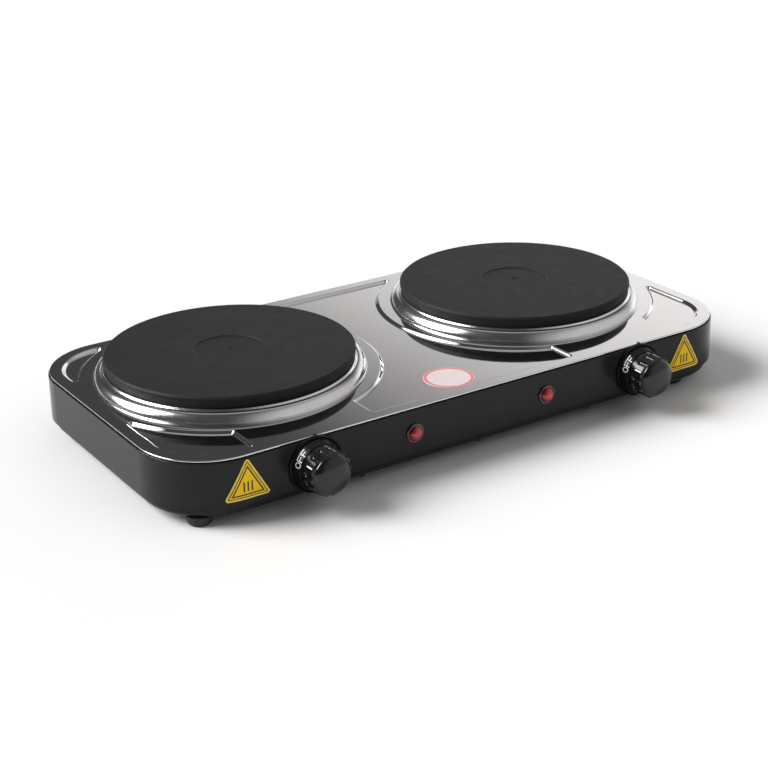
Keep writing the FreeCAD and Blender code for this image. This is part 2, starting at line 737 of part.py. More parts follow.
def knob():
    """Domed knob with flutes behind the dome, a raised pointer and a hub."""
    centre = Vector(0, 0, DOME_START)
    edge = Vector(DOME_R, 0, DOME_START)
    top = Vector(0, 0, KNOB_REACH)
    dome = Part.ArcOfEllipse(Part.Ellipse(edge, top, centre), 0, math.pi / 2)
    shoulder = Vector(KNOB_FRONT_R, 0, KNOB_SHOULDER)
    back = Vector(KNOB_BACK_R, 0, KNOB_BACK)
    axis_back = Vector(0, 0, KNOB_BACK)
    edges = [
        Part.makeLine(axis_back, back),
        Part.makeLine(back, shoulder),
        Part.makeLine(shoulder, edge),
        dome.toShape(),
        Part.makeLine(top, axis_back),
    ]
    solid = Part.Face(Part.Wire(edges)).revolve(Vector(0, 0, 0), Vector(0, 0, 1), 360)
    room = rod(KNOB_FRONT_R - KNOB_WALL - 1.4, KNOB_BACK - 1, DOME_START - 0.5)
    solid = solid.cut(room.cut(rod(KNOB_HUB_R, KNOB_BACK - 2, DOME_START)))
    solid = solid.cut(rod(SPINDLE_R + 0.02, KNOB_BACK - 1, SPINDLE_FRONT + 0.3))
    flutes = []
    for i in range(1, FLUTE_COUNT):
        a = math.radians(POINTER_ANGLE + 360 * i / FLUTE_COUNT)
        x = FLUTE_AXIS_R * math.cos(a)
        y = FLUTE_AXIS_R * math.sin(a)
        flutes.append(rod(FLUTE_R, FLUTE_START, DOME_START + 0.4, x, y))
        flutes.append(Part.makeSphere(FLUTE_R, Vector(x, y, FLUTE_START)))
    solid = solid.cut(Part.makeCompound(flutes))
    ridge = box(RIDGE_R - 3.6, RIDGE_R, -RIDGE_WIDTH / 2, RIDGE_WIDTH / 2, RIDGE_START, RIDGE_END)
    ridge = ridge.makeChamfer(0.6, [e for e in ridge.Edges if abs(e.BoundBox.XMin - RIDGE_R) < 0.01])
    ridge.rotate(Vector(0, 0, 0), Vector(0, 0, 1), POINTER_ANGLE)
    return fused([solid, ridge])


def spindle():
    """Steel spindle with a D flat for the knob and a bore for the adjusting pin."""
    shaft = rod(SPINDLE_R, -(STEEL_T + SPINDLE_BACK), SPINDLE_FRONT)
    flat = box(-5, 5, SPINDLE_R - 0.6, SPINDLE_R + 1, KNOB_BACK + 1, SPINDLE_FRONT + 1)
    flat.rotate(Vector(0, 0, 0), Vector(0, 0, 1), POINTER_ANGLE - 90)
    shaft = shaft.cut(flat)
    bore_top = -(STEEL_T + PIN_FRONT) + 1.5
    return shaft.cut(rod(PIN_R + RUN_CLEARANCE, -THROUGH, bore_top))


def adjusting_pin():
    """Pin that the spindle's thread moves in and out against the first blade."""
    back = -(STEEL_T + BLADE_YS[0] - BLADE_T / 2)
    return rod(PIN_R, back + 0.05, -(STEEL_T + PIN_FRONT))


def thermostat_body():
    """Steel bracket and threaded bushing of the thermostat."""
    y0 = -(STEEL_T + BRACKET_T)
    plate = box(-BRACKET_HALF_X, BRACKET_HALF_X, -BRACKET_HALF_Z, BRACKET_HALF_Z, y0, -STEEL_T)
    bush = rod(BUSHING_OUTER_R, y0 - BUSHING_TAIL, BUSHING_FRONT)
    return fused([plate, bush]).cut(rod(SPINDLE_R + RUN_CLEARANCE, -THROUGH, THROUGH))


def thermostat_stack():
    """Ceramic column that holds the contact blades."""
    y1 = -(STEEL_T + BRACKET_T)
    y0 = -(STEEL_T + STACK_BACK)
    column = box(STACK_NEAR_X, BRACKET_HALF_X, -STACK_HALF_Z, STACK_HALF_Z, y0, y1)
    for y in BLADE_YS:
        low = -(STEEL_T + y + BLADE_T / 2)
        column = column.cut(box(0, THROUGH, -BLADE_HALF_Z, BLADE_HALF_Z, low, low + BLADE_T))
    return column


def thermostat_blades():
    """Bimetal blade and two contact blades with push-on tabs."""
    pieces = []
    half = BLADE_T / 2
    for i, y in enumerate(BLADE_YS):
        x1 = BRACKET_HALF_X + (TAB_LENGTH + 1 if i else 0)
        z0 = -(STEEL_T + y + half)
        z1 = -(STEEL_T + y - half)
        blade = box(BLADE_TIP_X, x1, -BLADE_HALF_Z, BLADE_HALF_Z, z0, z1)
        pieces.append(blade)
    button = -(STEEL_T + BLADE_YS[1] + half)
    gap = BLADE_YS[2] - BLADE_YS[1] - BLADE_T
    middle = button - gap / 2
    x = BLADE_TIP_X + CONTACT_INSET
    pieces[1] = pieces[1].fuse(rod(CONTACT_R, middle + CONTACT_GAP / 2, button, x))
    pieces[2] = pieces[2].fuse(rod(CONTACT_R, button - gap, middle - CONTACT_GAP / 2, x))
    return Part.makeCompound(pieces)


def thermostat_nuts():
    """Two thin nuts that clamp the thermostat bushings to the front wall."""
    one = hex_prism(BUSHING_NUT_FLATS, 0.0, BUSHING_NUT_T).cut(rod(BUSHING_OUTER_R, -THROUGH, THROUGH))
    return Part.makeCompound([to_front(one, s * KNOB_X, KNOB_Z) for s in (-1, 1)])


def lamp_lens():
    """Translucent domed lens with a flange and a hollow tube."""
    a = LENS_DOME_R
    rise = LENS_REACH - LENS_FLANGE_T
    sphere_r = (a ** 2 + rise ** 2) / (2 * rise)
    half = math.asin(a / sphere_r) / 2
    centre_z = LENS_REACH - sphere_r
    start = Vector(a, 0, LENS_FLANGE_T)
    middle = Vector(sphere_r * math.sin(half), 0, centre_z + sphere_r * math.cos(half))
    top = Vector(0, 0, LENS_REACH)
    base = Vector(0, 0, 0)
    rim_low = Vector(LENS_FLANGE_R, 0, 0)
    rim_mid = Vector(LENS_FLANGE_R, 0, LENS_FLANGE_T - 0.5)
    rim_top = Vector(LENS_FLANGE_R - 0.5, 0, LENS_FLANGE_T)
    edges = [
        Part.makeLine(base, rim_low), Part.makeLine(rim_low, rim_mid),
        Part.makeLine(rim_mid, rim_top), Part.makeLine(rim_top, start),
        Part.Arc(start, middle, top).toShape(), Part.makeLine(top, base),
    ]
    solid = Part.Face(Part.Wire(edges)).revolve(Vector(0, 0, 0), Vector(0, 0, 1), 360)
    tube = rod(LENS_TUBE_R, -LENS_TUBE_BACK, 0)
    bore = rod(LENS_TUBE_R - LENS_TUBE_WALL, -LENS_TUBE_BACK - 1, LENS_REACH - 2.6)
    return fused([solid, tube]).cut(bore)


def lamp_holder():
    """Plastic holder that grips the lens tube behind the wall."""
    solid = rod(HOLDER_R, -HOLDER_BACK, -STEEL_T)
    solid = solid.cut(rod(LENS_TUBE_R + 0.05, -LENS_TUBE_BACK - 0.2, 0))
    for x in (-LEAD_OFFSET, LEAD_OFFSET):
        solid = solid.cut(rod(LEAD_R + 0.05, -THROUGH, -HOLDER_BACK + LEAD_HOLE_DEPTH, x))
    return solid


# ---------------------------------------------------------------- labels

def triangle_label(x):
    """Thin rounded triangle that follows the front wall round its corner."""
    height = TRIANGLE_SIDE * math.sqrt(3) / 2
    corners = [
        Vector(x - TRIANGLE_SIDE / 2, 0, TRIANGLE_BASE_Z),
        Vector(x + TRIANGLE_SIDE / 2, 0, TRIANGLE_BASE_Z),
        Vector(x, 0, TRIANGLE_BASE_Z + height),
    ]
    corners.append(corners[0])
    face = Part.Face(Part.makePolygon(corners))
    core = face.makeOffset2D(-TRIANGLE_CORNER_R, 2)
    smooth = core.Faces[0].OuterWire.makeOffset2D(TRIANGLE_CORNER_R)
    prism = Part.Face(smooth).extrude(Vector(0, 60, 0))
    prism.translate(Vector(0, FRONT_Y - 10, 0))
    skin = slab(-LABEL_T, SEAM_Z, DECK_TOP - 2).cut(slab(0.0, SEAM_Z - 1, DECK_TOP))
    return skin.common(prism)


def deck_label():
    """Thin round label on the floor of the middle pocket."""
    floor_z = DECK_TOP - POCKET_DEPTH
    return rod(ROUND_LABEL_R, floor_z, floor_z + LABEL_T, ROUND_LABEL_X, ROUND_LABEL_Y)


# ---------------------------------------------------------------- wiring

def cord_gland():
    """Rubber bush in the back wall for a round cord."""
    flange = rod(GLAND_R, 0, GLAND_REACH)
    neck = rod(GLAND_HOLE_R, -STEEL_T, 0)
    inner = rod(GLAND_R, -STEEL_T - GLAND_INNER_T, -STEEL_T)
    gland = fused([flange, neck, inner]).cut(rod(CORD_R + HOLE_GAP, -THROUGH, THROUGH))
    gland.rotate(Vector(0, 0, 0), Vector(1, 0, 0), -90)
    gland.translate(Vector(0, BACK_Y, GLAND_Z))
    return gland


def pole_hole_x(pole, side):
    """Return the X of one of a pole's two wire holes."""
    return POLE_XS[pole] + side * POLE_HOLE_OFFSET


def terminal_block():
    """Three-pole block on the base pan's floor."""
    z0 = FOOT_HEIGHT + STEEL_T
    block = box(-BLOCK_HALF_X, BLOCK_HALF_X, BLOCK_FRONT_Y, BLOCK_BACK_Y, z0, BLOCK_TOP)
    forward = Vector(0, 1, 0)
    middle = (BLOCK_FRONT_Y + BLOCK_BACK_Y) / 2
    for pole in range(len(POLE_XS)):
        for side in (-1, 1):
            mouth = Vector(pole_hole_x(pole, side), BLOCK_FRONT_Y, WIRE_RUN_Z)
            block = block.cut(Part.makeCylinder(WIRE_R + 0.1, POLE_HOLE_DEPTH, mouth, forward))
        back = Vector(POLE_XS[pole], BLOCK_BACK_Y - 5, WIRE_RUN_Z)
        block = block.cut(Part.makeCylinder(1.8, 5.0, back, forward))
        block = block.cut(rod(2.0, BLOCK_TOP - 3, BLOCK_TOP + 1, POLE_XS[pole], middle))
    return block


def blade_tip(side, index):
    """Return where a thermostat tab's socket opens."""
    x = side * KNOB_X + BRACKET_HALF_X + 0.8
    y = FRONT_Y + STEEL_T + BLADE_YS[index]
    return Vector(x, y, KNOB_Z)


def heater_tip(side, index):
    """Return where a heater tab's socket opens."""
    x, y = coil_ends()[index]
    return Vector(side * BURNER_X + x, BURNER_Y + y, BUSHING_BOTTOM - 0.6)


def from_blade(tip, x, drop_y):
    """Return the first points of a wire that leaves a thermostat tab and drops to the floor."""
    start_x = tip.x + SOCKET_LENGTH - 0.5
    return [(start_x, tip.y, tip.z), (x, tip.y, tip.z), (x, drop_y, tip.z), (x, drop_y, WIRE_RUN_Z)]


def to_heater(tip):
    """Return the last points of a wire that rises to a heater tab."""
    return [(tip.x, tip.y, WIRE_RUN_Z), (tip.x, tip.y, tip.z - SOCKET_LENGTH + 0.5)]


def blade_socket(tip):
    """Socket pushed onto a thermostat tab."""
    return socket(tip, Vector(1, 0, 0), Vector(0, 1, 0))


def heater_socket(tip):
    """Socket pushed onto a heater tab."""
    return socket(tip, Vector(0, 0, -1), Vector(0, 1, 0))


def heater_wire(side):
    """Wire from the thermostat to the inner end of the heating coil."""
    start = blade_tip(side, 2)
    end = heater_tip(side, 0)
    points = from_blade(start, start.x + 17.2, HEATER_DROP_Y)
    points += [(end.x, HEATER_DROP_Y, WIRE_RUN_Z)] + to_heater(end)
    return fused([blade_socket(start), rod_path(points, WIRE_R, WIRE_BEND), heater_socket(end)])


def live_wire(side):
    """Wire from the terminal block to the thermostat."""
    start = blade_tip(side, 1)
    lane_x = pole_hole_x(0, side)
    points = from_blade(start, start.x + 23.2, LIVE_DROP_Y)
    points += [(lane_x, LIVE_DROP_Y, WIRE_RUN_Z)]
    points += [(lane_x, BLOCK_FRONT_Y + POLE_HOLE_DEPTH - 0.5, WIRE_RUN_Z)]
    return fused([blade_socket(start), rod_path(points, WIRE_R, WIRE_BEND)])


def neutral_wire(side):
    """Wire from the terminal block to the outer end of the heating coil."""
    end = heater_tip(side, 1)
    hole_x = pole_hole_x(2, side)
    turn_x = end.x + 14.5 * (-side)
    z = WIRE_RUN_Z
    points = [(hole_x, BLOCK_FRONT_Y + POLE_HOLE_DEPTH - 0.5, z), (hole_x, NEUTRAL_LANE_Y, z)]
    if side < 0:
        points += [(hole_x, NEUTRAL_LANE_Y, WIRE_HIGH_Z), (turn_x, NEUTRAL_LANE_Y, WIRE_HIGH_Z)]
    points += [(turn_x, NEUTRAL_LANE_Y, z), (turn_x, end.y, z)] + to_heater(end)
    return fused([heater_socket(end), rod_path(points, WIRE_R, WIRE_BEND)])


def lamp_leads(side, lamp_x):
    """Two thin leads from an indicator lamp to the sockets on the heater tabs."""
    leads = []
    y0 = FRONT_Y + HOLDER_BACK - LEAD_HOLE_DEPTH + 0.2
    for index, offset in ((0, side * LEAD_OFFSET), (1, -side * LEAD_OFFSET)):
        x = lamp_x + offset
        drop_y = LEAD_DROP_YS[index]
        tip = heater_tip(side, index)
        end_x = tip.x - side * SOCKET_HALF_WIDTH
        rise_x = end_x - side * 8.0
        leads.append(rod_path([
            (x, y0, LAMP_Z), (x, drop_y, LAMP_Z), (x, drop_y, LEAD_RUN_Z), (x, tip.y, LEAD_RUN_Z),
            (rise_x, tip.y, LEAD_RUN_Z), (rise_x, tip.y, LEAD_END_Z), (end_x, tip.y, LEAD_END_Z),
        ], LEAD_R, LEAD_BEND))
    return Part.makeCompound(leads)


def earth_wire():
    """Wire from the terminal block's middle pole to a ring on the base pan."""
    x = pole_hole_x(1, 1)
    end_y = EARTH_Y + EARTH_RING_R + 2.0
    wire = rod_path([
        (x, BLOCK_FRONT_Y + POLE_HOLE_DEPTH - 0.5, WIRE_RUN_Z),
        (x, end_y + 8.0, WIRE_RUN_Z), (x, end_y, EARTH_RING_Z + 0.2),
    ], WIRE_R, WIRE_BEND)
    ring = rod(EARTH_RING_R, EARTH_RING_Z - 0.6, EARTH_RING_Z, x, EARTH_Y)
    neck = box(x - 1.4, x + 1.4, EARTH_Y, end_y + 0.5, EARTH_RING_Z - 0.6, EARTH_RING_Z)
    return fused([wire, ring, neck]).cut(rod(EARTH_SCREW_R + 0.05, 0, 20, x, EARTH_Y))


def earth_screw():
    """Screw and spacer that bond the earth ring to the base pan."""
    x = pole_hole_x(1, 1)
    floor_z = FOOT_HEIGHT + STEEL_T
    spacer = rod(3.4, floor_z, EARTH_RING_Z - 0.6, x, EARTH_Y)
    shank = rod(EARTH_SCREW_R, floor_z, EARTH_RING_Z, x, EARTH_Y)
    head = rod(3.6, EARTH_RING_Z, EARTH_RING_Z + 2.0, x, EARTH_Y)
    slot = box(x - 2.6, x + 2.6, EARTH_Y - 0.5, EARTH_Y + 0.5, EARTH_RING_Z + 1.2, EARTH_RING_Z + 3.0)
    return fused([spacer, shank, head]).cut(slot)


def build_all():
    """Build and save every node."""
    save("body_shell", body_shell())
    save("base_pan", base_pan())
    save("top_deck", top_deck())
    one_foot = foot()
    for name, x, y in foot_points():
        save(name, moved(one_foot, x, y))
    coil = heating_coil()
    burner_parts = {
        "hotplate": hotplate(),
        "heating_coil": coil,
        "ceramic_fill": ceramic_fill(coil),
        "plate_cover": plate_cover(),
        "trim_ring": trim_ring(),
        "reflector_pan": reflector_pan(),
        "clamp_strap": clamp_strap(),
    }
    front_parts = {
        "dial_collar": dial_collar(),
        "knob": knob(),
        "spindle": spindle(),
        "adjusting_pin": adjusting_pin(),
        "thermostat_body": thermostat_body(),
        "thermostat_stack": thermostat_stack(),
        "thermostat_blades": thermostat_blades(),
    }
    for i, (side, word) in enumerate(((-1, "left"), (1, "right"))):
        for name, shape in burner_parts.items():
            save("%s_%s" % (name, word), moved(shape, side * BURNER_X, BURNER_Y))
        for name, shape in front_parts.items():
            save("%s_%s" % (name, word), to_front(shape, side * KNOB_X, KNOB_Z))
        save("lamp_lens_%s" % word, to_front(lamp_lens(), LAMP_XS[i], LAMP_Z))
        save("lamp_holder_%s" % word, to_front(lamp_holder(), LAMP_XS[i], LAMP_Z))
        save("lamp_leads_%s" % word, lamp_leads(side, LAMP_XS[i]))
        save("triangle_label_%s" % word, triangle_label(TRIANGLE_XS[i]))
        save("heater_wire_%s" % word, heater_wire(side))
        save("live_wire_%s" % word, live_wire(side))
        save("neutral_wire_%s" % word, neutral_wire(side))
    save("deck_label", deck_label())
    save("foot_screws", foot_screws())
    save("base_screws", base_screws())
    save("centre_studs", centre_studs())
    save("centre_washers", centre_washers())
    save("centre_nuts", centre_nuts())
    save("thermostat_nuts", thermostat_nuts())
    save("cord_gland", cord_gland())
    save("terminal_block", terminal_block())
    save("earth_wire", earth_wire())
    save("earth_screw", earth_screw())


build_all()
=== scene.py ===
import json
import math

import bpy
from mathutils import Matrix, Vector


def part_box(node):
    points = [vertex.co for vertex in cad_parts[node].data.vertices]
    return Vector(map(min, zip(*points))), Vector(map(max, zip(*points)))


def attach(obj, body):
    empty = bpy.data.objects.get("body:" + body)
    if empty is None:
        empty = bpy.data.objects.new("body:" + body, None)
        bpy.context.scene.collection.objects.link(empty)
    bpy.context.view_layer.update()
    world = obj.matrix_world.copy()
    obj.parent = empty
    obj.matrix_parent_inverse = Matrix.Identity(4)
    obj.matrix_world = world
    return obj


# Looks for the twin electric hot plate. Lengths are in metres.

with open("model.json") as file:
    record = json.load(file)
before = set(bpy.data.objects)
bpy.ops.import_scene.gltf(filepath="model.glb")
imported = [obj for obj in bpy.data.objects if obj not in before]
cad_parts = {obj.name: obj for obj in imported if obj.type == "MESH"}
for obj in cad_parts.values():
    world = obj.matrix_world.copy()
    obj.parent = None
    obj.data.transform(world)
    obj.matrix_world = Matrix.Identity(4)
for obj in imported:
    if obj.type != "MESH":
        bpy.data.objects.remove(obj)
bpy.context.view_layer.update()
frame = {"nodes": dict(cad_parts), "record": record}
MM = 0.001

# Places that come from the frame
SHELL_LOW, SHELL_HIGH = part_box("body_shell")
DECK_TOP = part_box("top_deck")[1].z
FRONT_Y = SHELL_LOW.y
BODY_MIDDLE = (SHELL_LOW + SHELL_HIGH) / 2
HALF_X = (SHELL_HIGH.x - SHELL_LOW.x) / 2
CORNER_R = 52 * MM

# Camera, as a distance in metres and angles in degrees about a point above the middle of the body
CAMERA_AZIMUTH = -33.01
CAMERA_ELEVATION = 19.67
CAMERA_ROLL = -1.09
CAMERA_DISTANCE = 1.3113
CAMERA_AIM_RISE = 0.0404
CAMERA_LENS = 80.99
CAMERA_SENSOR = 36.0
CAMERA_SHIFT = (-0.0073, -0.1261)

# Printed marks stand this far above the surface they are on
INK_RISE = 0.06 * MM

# Lettering on the fixed collars. The angle of its middle is in degrees from the right. Straight arms are
# drawn in steps, so that they follow the curve.
LETTER_ANGLE = 147.0
LETTER_HEIGHT = 3.9 * MM
LETTER_WIDTH = 3.4 * MM
LETTER_PITCH = 4.4 * MM
LETTER_STROKE = 0.65 * MM
ARM_STEPS = 8
LETTER_BASE_DEPTH = 8.2 * MM

# Cone of the fixed collars, as radius and depth in front of the wall
CONE_BACK = (19.0 * MM, 1.7 * MM)
CONE_FRONT = (16.9 * MM, 8.5 * MM)

# Pointer stripe of the knobs: angle in degrees, ridge radius, and depths in front of the wall
POINTER_ANGLE = 152.0
RIDGE_R = 17.1 * MM
POINTER_HALF_WIDTH = 0.5 * MM
POINTER_DEPTHS = (15.6 * MM, 21.1 * MM)

# Triangle labels. The two lines are given as insets from the edge. The field is drawn in steps, as shares of
# its size, so that it follows the corner of the wall.
LABEL_T = 0.2 * MM
TRIANGLE_CORNER_R = 1.8 * MM
ARC_STEPS = 6
EDGE_STEPS = 20
FIELD_STEPS = (1.0, 0.8, 0.6, 0.4, 0.2, 0.02)
LINE_OUTER = (1.3 * MM, 1.9 * MM)
LINE_INNER = (2.9 * MM, 3.9 * MM)
BAR_PITCH = 3.0 * MM
BAR_HALF_WIDTH = 0.55 * MM
BAR_HALF_HEIGHT = 3.6 * MM
BAR_DROP = 1.0 * MM
BAR_CORE = 0.05

# Lamp lenses: painted glow inside the first radius, painted shade outside the second
LENS_PAINTED_GLOW_R = 2.8 * MM
LENS_PAINTED_SHADE_R = 5.8 * MM

# Cast-iron plates: the recess edge, and how wide its wear is
RECESS_R = 26.5 * MM
RECESS_WEAR = 0.9 * MM

# Red rim of the round deck label
RIM_WIDTH = 2.2 * MM
RIM_INSET = 0.4 * MM
RIM_STEPS = 96

# Half the floor's side, in metres
FLOOR_REACH = 8.0


# ---------------------------------------------------------------- shaders

class Shader:
    """A material with a Principled shader and short calls for its nodes."""

    def __init__(self, name, **values):
        self.material = bpy.data.materials.new(name)
        self.material.use_nodes = True
        self.tree = self.material.node_tree
        self.shader = self.tree.nodes["Principled BSDF"]
        for socket, value in values.items():
            self.shader.inputs[socket.replace("_", " ")].default_value = value

    def node(self, kind, **settings):
        """Add a node and set its plain settings."""
        made = self.tree.nodes.new(kind)
        for key, value in settings.items():
            setattr(made, key, value)
        return made

    def link(self, output, target):
        """Link an output to an input."""
        self.tree.links.new(output, target)

    def place(self, stretch=(1, 1, 1), centre=(0, 0, 0)):
        """Return object coordinates about a centre, scaled along each axis."""
        coordinates = self.node("ShaderNodeTexCoord")
        mapping = self.node("ShaderNodeMapping", vector_type="POINT")
        mapping.inputs["Scale"].default_value = stretch
        mapping.inputs["Location"].default_value = [-c * s for c, s in zip(centre, stretch)]
        self.link(coordinates.outputs["Object"], mapping.inputs["Vector"])
        return mapping.outputs["Vector"]

    def noise(self, scale, detail=4.0, vector=None):
        """Return a noise value. Scale is in cycles per metre."""
        made = self.node("ShaderNodeTexNoise")
        made.inputs["Scale"].default_value = scale
        made.inputs["Detail"].default_value = detail
        self.link(vector or self.place(), made.inputs["Vector"])
        return made.outputs["Fac"]

    def distance(self, across, centre):
        """Return the distance from a centre, along the axes that across picks."""
        flat = self.place(across, [c * a for c, a in zip(centre, across)])
        length = self.node("ShaderNodeVectorMath", operation="LENGTH")
        self.link(flat, length.inputs[0])
        return length.outputs["Value"]

    def rings(self, centre, pitch):
        """Return fine concentric waves about a vertical axis."""
        turns = self.math("MULTIPLY", self.distance((1, 1, 0), centre), 2 * math.pi / pitch)
        return self.math("SINE", turns)

    def ring_line(self, centre, radius, width):
        """Return 1 on a circle about a vertical axis, and 0 away from it."""
        away = self.math("ABSOLUTE", self.math("SUBTRACT", self.distance((1, 1, 0), centre), radius))
        return self.spread(away, 1.0, 0.0, 0.0, width)

    def math(self, operation, a, b=0.0):
        """Return a Math node's output for two sockets or numbers."""
        made = self.node("ShaderNodeMath", operation=operation)
        for socket, value in zip(made.inputs, (a, b)):
            if isinstance(value, (int, float)):
                socket.default_value = value
            else:
                self.link(value, socket)
        return made.outputs[0]

    def spread(self, value, low, high, start=0.3, end=0.7):
        """Return a value mapped from one range to another."""
        made = self.node("ShaderNodeMapRange")
        for key, number in (("From Min", start), ("From Max", end), ("To Min", low), ("To Max", high)):
            made.inputs[key].default_value = number
        self.link(value, made.inputs["Value"])
        return made.outputs["Result"]

    def colour(self, value, low, high):
        """Colour the surface between two colours by a value."""
        ramp = self.node("ShaderNodeValToRGB")
        ramp.color_ramp.elements[0].position = 0.3
        ramp.color_ramp.elements[1].position = 0.7
        ramp.color_ramp.elements[0].color = (*low, 1)
        ramp.color_ramp.elements[1].color = (*high, 1)
        self.link(value, ramp.inputs["Fac"])
        self.link(ramp.outputs["Color"], self.shader.inputs["Base Color"])

    def rough(self, value, low, high):
        """Vary the roughness between two numbers by a value."""
        self.link(self.spread(value, low, high), self.shader.inputs["Roughness"])

    def bump(self, height, depth, strength=1.0):
        """Raise the surface by a height value times a depth in metres."""
        made = self.node("ShaderNodeBump")
        made.inputs["Strength"].default_value = strength
        made.inputs["Distance"].default_value = depth
        self.link(height, made.inputs["Height"])
        self.link(made.outputs["Normal"], self.shader.inputs["Normal"])


def deck_steel():
    """Mirror-polished steel with faint streaks along its length."""
    s = Shader("deck_steel", Metallic=1.0)
    streaks = s.noise(260.0, 3.0, s.place((0.12, 1, 1)))
    s.colour(s.noise(14.0), (0.68, 0.67, 0.665), (0.72, 0.71, 0.705))
    s.rough(streaks, 0.03, 0.06)
    s.bump(streaks, 0.0006 * MM, 0.3)
    return s.material


def ring_steel(centre):
    """Polished spun steel with very fine turning marks."""
    s = Shader("ring_steel", Metallic=1.0)
    s.colour(s.noise(30.0), (0.66, 0.655, 0.65), (0.72, 0.715, 0.71))
    s.rough(s.noise(90.0), 0.15, 0.20)
    s.bump(s.rings(centre, 0.35 * MM), 0.001 * MM, 0.4)
    return s.material


def cast_iron(centre):
    """Matte coated cast iron, faced on a lathe, a little worn at the edge of the recess."""
    s = Shader("cast_iron", Specular_IOR_Level=0.25)
    grain = s.noise(1900.0, 2.0)
    mottle = s.spread(s.noise(38.0, 6.0), 0.3, 0.5)
    worn = s.ring_line(centre, RECESS_R, RECESS_WEAR)
    s.colour(s.math("ADD", mottle, worn), (0.008, 0.008, 0.0082), (0.016, 0.016, 0.0163))
    s.rough(s.noise(120.0), 0.55, 0.61)
    turned = s.math("MULTIPLY", s.rings(centre, 0.55 * MM), 0.2)
    s.bump(s.math("ADD", turned, grain), 0.012 * MM, 0.35)
    return s.material


def body_paint():
    """Glossy black enamel with a slight orange peel."""
    s = Shader("body_paint", Specular_IOR_Level=0.16)
    s.colour(s.noise(25.0), (0.016, 0.016, 0.0166), (0.019, 0.019, 0.0198))
    s.rough(s.noise(180.0), 0.16, 0.22)
    s.bump(s.noise(420.0, 2.0), 0.004 * MM, 0.2)
    return s.material


def knob_plastic():
    """Glossy black moulded plastic."""
    s = Shader("knob_plastic")
    s.colour(s.noise(60.0), (0.005, 0.005, 0.0054), (0.007, 0.007, 0.0075))
    s.rough(s.noise(240.0), 0.13, 0.18)
    s.bump(s.noise(900.0, 2.0), 0.003 * MM, 0.2)
    return s.material


def lens_red(centre):
    """Translucent red moulded lens, with a painted glow in the middle and painted shade at the rim."""
    s = Shader("lens_red", Subsurface_Weight=0.25, IOR=1.49, Coat_Weight=0.8, Coat_Roughness=0.04)
    s.shader.inputs["Subsurface Radius"].default_value = (2 * MM, 0.2 * MM, 0.2 * MM)
    # Painted glow and shade: the lens colour is lightened in the middle and darkened towards the rim
    body = s.spread(s.distance((1, 0, 1), centre), 0.72, 0.25, LENS_PAINTED_GLOW_R, LENS_PAINTED_SHADE_R)
    cloud = s.math("MULTIPLY", s.noise(500.0), 0.12)
    s.colour(s.math("ADD", body, cloud), (0.05, 0.0012, 0.0014), (0.52, 0.008, 0.009))
    s.rough(s.noise(500.0), 0.08, 0.14)
    return s.material


def plain(name, low, high, rough, scale=200.0, depth=0.02, metallic=0.0, specular=0.5):
    """A mottled material with a fine surface texture. Depth is in millimetres."""
    s = Shader(name, Metallic=metallic, Specular_IOR_Level=specular)
    s.colour(s.noise(scale / 6), low, high)
    s.rough(s.noise(scale), *rough)
    s.bump(s.noise(scale * 4, 3.0), depth * MM, 0.4)
    return s.material


def small_materials():
    """Return the materials of the small and inner parts, by slot."""
    metal = {"metallic": 1.0}
    wire = (0.45, 0.6)
    rows = (
        # slot, dark colour, light colour, roughness, other values
        ("black_steel", (0.02, 0.02, 0.02), (0.04, 0.04, 0.04), (0.35, 0.5), metal),
        ("coil_sheath", (0.20, 0.16, 0.13), (0.34, 0.31, 0.29), (0.35, 0.5), metal),
        ("ceramic", (0.62, 0.58, 0.50), (0.78, 0.74, 0.67), (0.75, 0.9), {"depth": 0.08}),
        ("bright_steel", (0.50, 0.50, 0.50), (0.64, 0.64, 0.65), (0.28, 0.42), metal),
        ("blade_brass", (0.62, 0.44, 0.17), (0.76, 0.58, 0.28), (0.25, 0.38), metal),
        ("holder_plastic", (0.03, 0.03, 0.03), (0.05, 0.05, 0.05), (0.45, 0.6), {}),
        ("foot_rubber", (0.014, 0.014, 0.014), (0.026, 0.026, 0.026), (0.62, 0.8), {"depth": 0.05}),
        ("label_yellow", (0.90, 0.68, 0.07), (0.96, 0.74, 0.11), (0.42, 0.52),
         {"depth": 0.01, "specular": 0.15}),
        ("label_white", (0.70, 0.61, 0.61), (0.76, 0.67, 0.67), (0.40, 0.52), {"depth": 0.01}),
        ("wire_brown", (0.14, 0.06, 0.03), (0.20, 0.09, 0.04), wire, {}),
        ("wire_red", (0.40, 0.03, 0.03), (0.52, 0.05, 0.05), wire, {}),
        ("wire_blue", (0.03, 0.10, 0.38), (0.05, 0.15, 0.48), wire, {}),
        ("wire_white", (0.68, 0.68, 0.66), (0.80, 0.80, 0.78), wire, {}),
        ("wire_green", (0.12, 0.34, 0.04), (0.42, 0.48, 0.05), wire, {}),
        ("block_plastic", (0.72, 0.70, 0.64), (0.82, 0.80, 0.75), (0.4, 0.55), {}),
    )
    return {slot: plain(slot, low, high, rough, **other) for slot, low, high, rough, other in rows}


